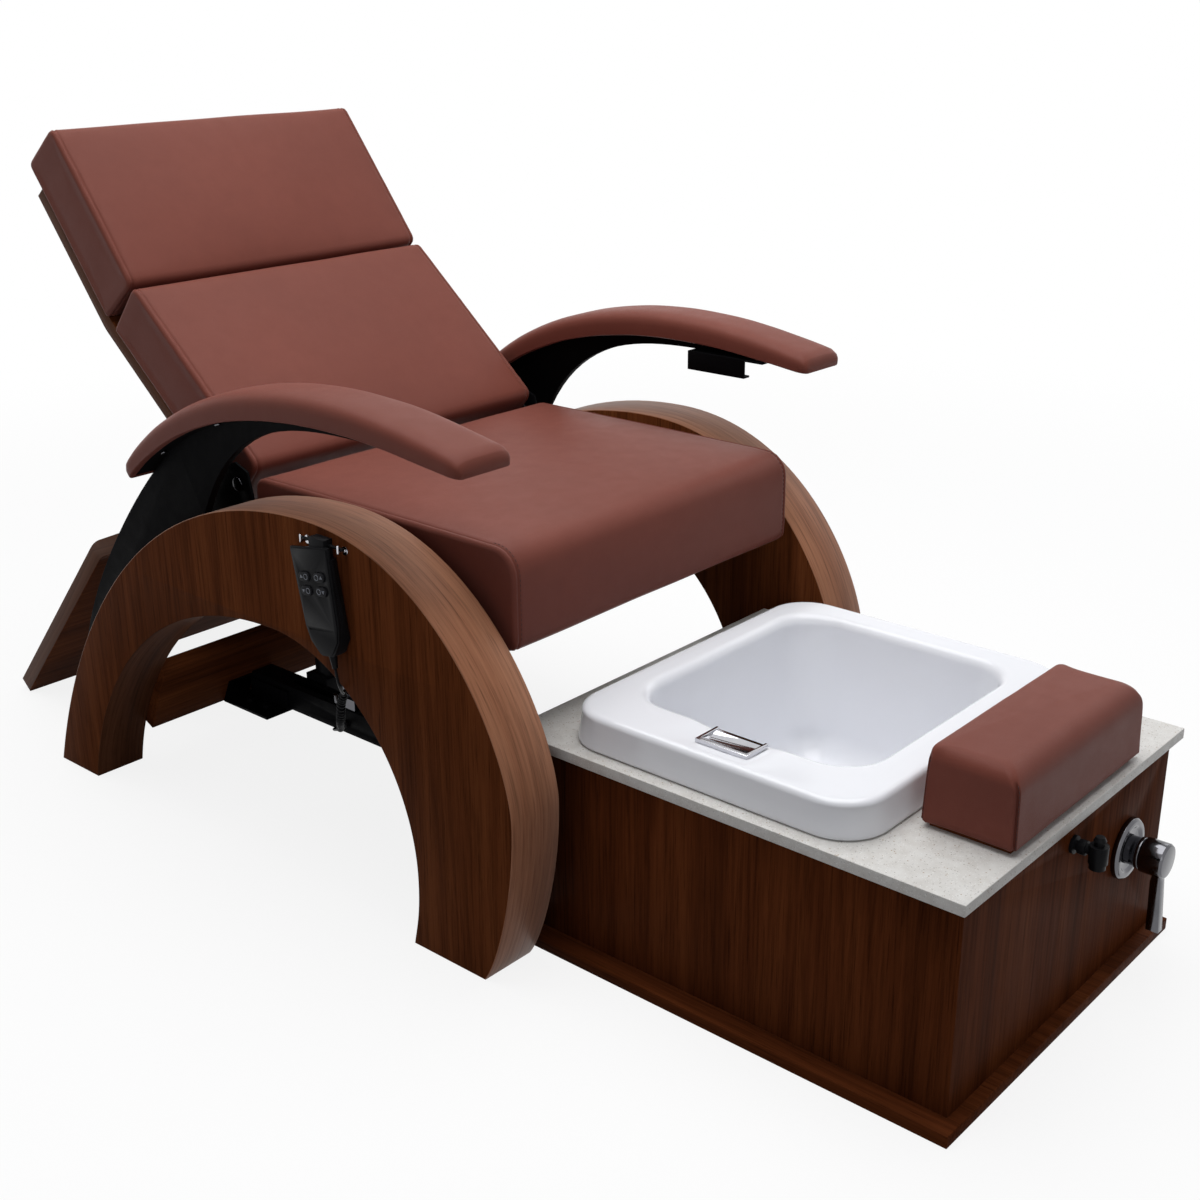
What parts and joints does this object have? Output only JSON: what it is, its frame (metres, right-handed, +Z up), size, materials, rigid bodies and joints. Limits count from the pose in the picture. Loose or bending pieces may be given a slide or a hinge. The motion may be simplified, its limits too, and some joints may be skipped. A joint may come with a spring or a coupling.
{
  "type": "pedicure spa chair",
  "caption": "Pedicure chair: two wooden side arches carry a padded seat, a reclining two-part back and curved armrests behind a cabinet with a foot basin.",
  "frame": {"origin": "centre of the footprint, on the floor", "axes": "+Z up, the sitter faces -Y, +X to the sitter's left"},
  "size_m": [0.7845, 1.8847, 0.9637],
  "materials": {
    "walnut_veneer": "satin",
    "leather": "satin",
    "black_steel": "matte",
    "chrome": "polished",
    "quartz": "satin",
    "basin_white": "polished",
    "black_plastic": "matte",
    "button_grey": "satin",
    "plywood": "satin",
    "grey_plastic": "matte"
  },
  "bodies": {
    "base": {"side_arch_right": "walnut_veneer", "side_arch_left": "walnut_veneer", "armrest_support_right": "black_steel", "armrest_support_left": "black_steel", "armrest_pad_right": "leather", "armrest_pad_left": "leather", "tray_bracket": "black_steel", "rear_stretcher": "walnut_veneer", "rear_leg_panel": "walnut_veneer", "front_crossbar": "black_steel", "rear_crossbar": "black_steel", "seat_rails": "black_steel", "seat_crossbars": "black_steel", "seat_board": "plywood", "seat_cushion": "leather", "hinge_plates": "black_steel", "hinge_pins": "chrome", "drive_rail": "black_steel", "drive_bracket": "black_steel", "drive_motor": "black_plastic", "control_box": "black_plastic", "plinth_board": "walnut_veneer", "cabinet_sides": "walnut_veneer", "cabinet_front": "walnut_veneer", "cabinet_back": "plywood", "countertop": "quartz", "basin": "basin_white", "drain_flange": "chrome", "drain_trap": "grey_plastic", "water_spout": "chrome", "mixer_flange": "chrome", "mixer_body": "chrome", "mixer_valve": "chrome", "hose_fitting": "black_plastic", "water_inlets": "chrome", "footrest_board": "plywood", "footrest_cushion": "leather", "handset_hooks": "chrome", "handset_cord": "black_plastic", "cord_gland": "black_plastic", "pad_screws": "chrome", "frame_bolts": "black_steel"},
    "back": {"back_panel": "walnut_veneer", "back_cushion_upper": "leather", "back_cushion_lower": "leather", "back_brackets": "black_steel", "back_crank": "black_steel"},
    "drive_slider": {"drive_slider": "chrome"},
    "mixer_handle": {"mixer_handle": "chrome"},
    "drain_stopper": {"drain_stopper": "chrome"},
    "handset": {"handset_back": "black_plastic", "handset_cover": "black_plastic"},
    "button_back_up": {"button_back_up": "button_grey"},
    "button_back_down": {"button_back_down": "button_grey"},
    "button_heat": {"button_heat": "button_grey"},
    "button_massage": {"button_massage": "button_grey"}
  },
  "joints": [
    {"name": "back_recline", "type": "hinge", "parent": "base", "child": "back", "pos_m": [0, 0.232, 0.516], "axis": [1, 0, 0], "range_deg": [-8, 22]},
    {"name": "drive_travel", "type": "slide", "parent": "base", "child": "drive_slider", "axis": [0, 1, 0], "range_m": [-0.025, 0.068]},
    {"name": "mixer_turn", "type": "hinge", "parent": "base", "child": "mixer_handle", "pos_m": [0.149, -0.93, 0.172], "axis": [0, -1, 0], "range_deg": [0, 110]},
    {"name": "stopper_lift", "type": "slide", "parent": "base", "child": "drain_stopper", "axis": [0, 0, 1], "range_m": [0, 0.008]},
    {"name": "handset_lift", "type": "slide", "parent": "base", "child": "handset", "axis": [0, 0, 1], "range_m": [0, 0.012]},
    {"name": "back_up_press", "type": "slide", "parent": "handset", "child": "button_back_up", "axis": [1, 0, 0], "range_m": [0, 0.0015], "stiffness_N_per_m": 300},
    {"name": "back_down_press", "type": "slide", "parent": "handset", "child": "button_back_down", "axis": [1, 0, 0], "range_m": [0, 0.0015], "stiffness_N_per_m": 300},
    {"name": "heat_press", "type": "slide", "parent": "handset", "child": "button_heat", "axis": [1, 0, 0], "range_m": [0, 0.0015], "stiffness_N_per_m": 300},
    {"name": "massage_press", "type": "slide", "parent": "handset", "child": "button_massage", "axis": [1, 0, 0], "range_m": [0, 0.0015], "stiffness_N_per_m": 300}
  ],
  "couplings": [
    {"joint": "drive_travel", "follows": "back_recline", "m_per_rad": 0.172}
  ]
}
